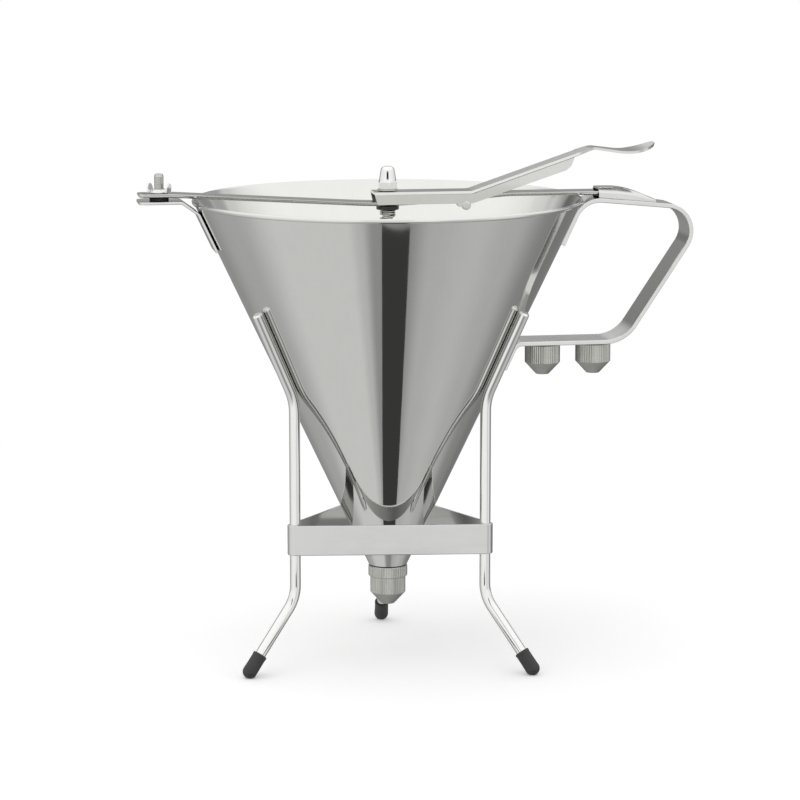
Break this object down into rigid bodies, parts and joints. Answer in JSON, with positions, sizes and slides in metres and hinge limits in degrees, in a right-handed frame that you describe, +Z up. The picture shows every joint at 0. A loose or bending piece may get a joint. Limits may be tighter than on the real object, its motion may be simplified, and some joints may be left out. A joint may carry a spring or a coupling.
{
  "type": "pancake batter dispenser",
  "caption": "Conical steel funnel with a thumb lever that lifts a valve rod to let batter out, a strip handle carrying spare nozzles, and a wire stand with capped feet.",
  "frame": {"origin": "centre of the nozzle's mouth, on the funnel's axis", "axes": "+Z up along the funnel's axis, +X towards the handle and the lever's thumb pad"},
  "size_m": [0.2574, 0.18, 0.241],
  "materials": {
    "funnel_steel": "bright polished sheet",
    "strip_steel": "polished strip",
    "crossbar_steel": "polished strip",
    "lever_steel": "polished pressed sheet",
    "wire_steel": "bright drawn wire",
    "band_steel": "satin strip",
    "knurled_steel": "knurled, turned",
    "turned_steel": "turned",
    "rod_steel": "polished bar",
    "spring_steel": "drawn wire",
    "cap_nut_steel": "polished",
    "wing_nut_steel": "plated, pressed",
    "black_plastic": "moulded",
    "black_rubber": "moulded",
    "white_silicone": "moulded"
  },
  "bodies": {
    "stand": {"leg_left": "wire_steel", "leg_right": "wire_steel", "leg_rear": "wire_steel", "stand_band": "band_steel", "foot_cap_left": "black_plastic", "foot_cap_right": "black_plastic", "foot_cap_rear": "black_plastic"},
    "funnel": {"funnel_cone": "funnel_steel", "outlet_spigot": "turned_steel", "collar_seal": "black_rubber", "handle_strip": "strip_steel", "bar_hood": "strip_steel", "spare_nozzle_studs": "turned_steel", "ear_strip": "strip_steel", "clamp_stud": "turned_steel", "ear_washer": "black_rubber", "crossbar": "crossbar_steel", "rod_guide": "black_plastic", "pivot_barrel": "turned_steel", "return_spring": "spring_steel"},
    "lever": {"lever": "lever_steel", "pivot_pin": "turned_steel"},
    "rod": {"valve_rod": "rod_steel", "valve_stopper": "rod_steel", "spring_stop": "turned_steel", "nut_washer": "turned_steel", "cap_nut": "cap_nut_steel"},
    "collar_ring": {"collar_ring": "knurled_steel"},
    "nozzle": {"nozzle": "knurled_steel", "nozzle_gasket": "white_silicone"},
    "spare_nozzle_inner": {"spare_nozzle_inner": "knurled_steel"},
    "spare_nozzle_outer": {"spare_nozzle_outer": "knurled_steel"},
    "wing_nut": {"wing_nut": "wing_nut_steel"}
  },
  "joints": [
    {"name": "funnel_lift", "type": "slide", "parent": "stand", "child": "funnel", "axis": [0, 0, 1], "range_m": [0, 0.15]},
    {"name": "lever_hinge", "type": "hinge", "parent": "funnel", "child": "lever", "pos_m": [0.0354, 0, 0.18753], "axis": [0, 1, 0], "range_deg": [0, 10]},
    {"name": "rod_slide", "type": "slide", "parent": "funnel", "child": "rod", "axis": [0, 0, 1], "range_m": [0, 0.0073], "stiffness_N_per_m": 150, "springref_m": -0.006, "deforming": ["return_spring"]},
    {"name": "collar_ring_turn", "type": "hinge", "parent": "funnel", "child": "collar_ring", "pos_m": [0, 0, 0.0158], "axis": [0, 0, 1], "continuous": true},
    {"name": "nozzle_turn", "type": "hinge", "parent": "funnel", "child": "nozzle", "pos_m": [0, 0, 0.007], "axis": [0, 0, 1], "continuous": true},
    {"name": "spare_inner_turn", "type": "hinge", "parent": "funnel", "child": "spare_nozzle_inner", "pos_m": [0.07321, 0, 0.1143], "axis": [0, 0, 1], "continuous": true},
    {"name": "spare_outer_turn", "type": "hinge", "parent": "funnel", "child": "spare_nozzle_outer", "pos_m": [0.09731, 0, 0.1143], "axis": [0, 0, 1], "continuous": true},
    {"name": "wing_nut_turn", "type": "hinge", "parent": "funnel", "child": "wing_nut", "pos_m": [-0.1052, 0, 0.1965], "axis": [0, 0, 1], "continuous": true}
  ],
  "couplings": [
    {"joint": "rod_slide", "follows": "lever_hinge", "m_per_rad": 0.0414}
  ]
}
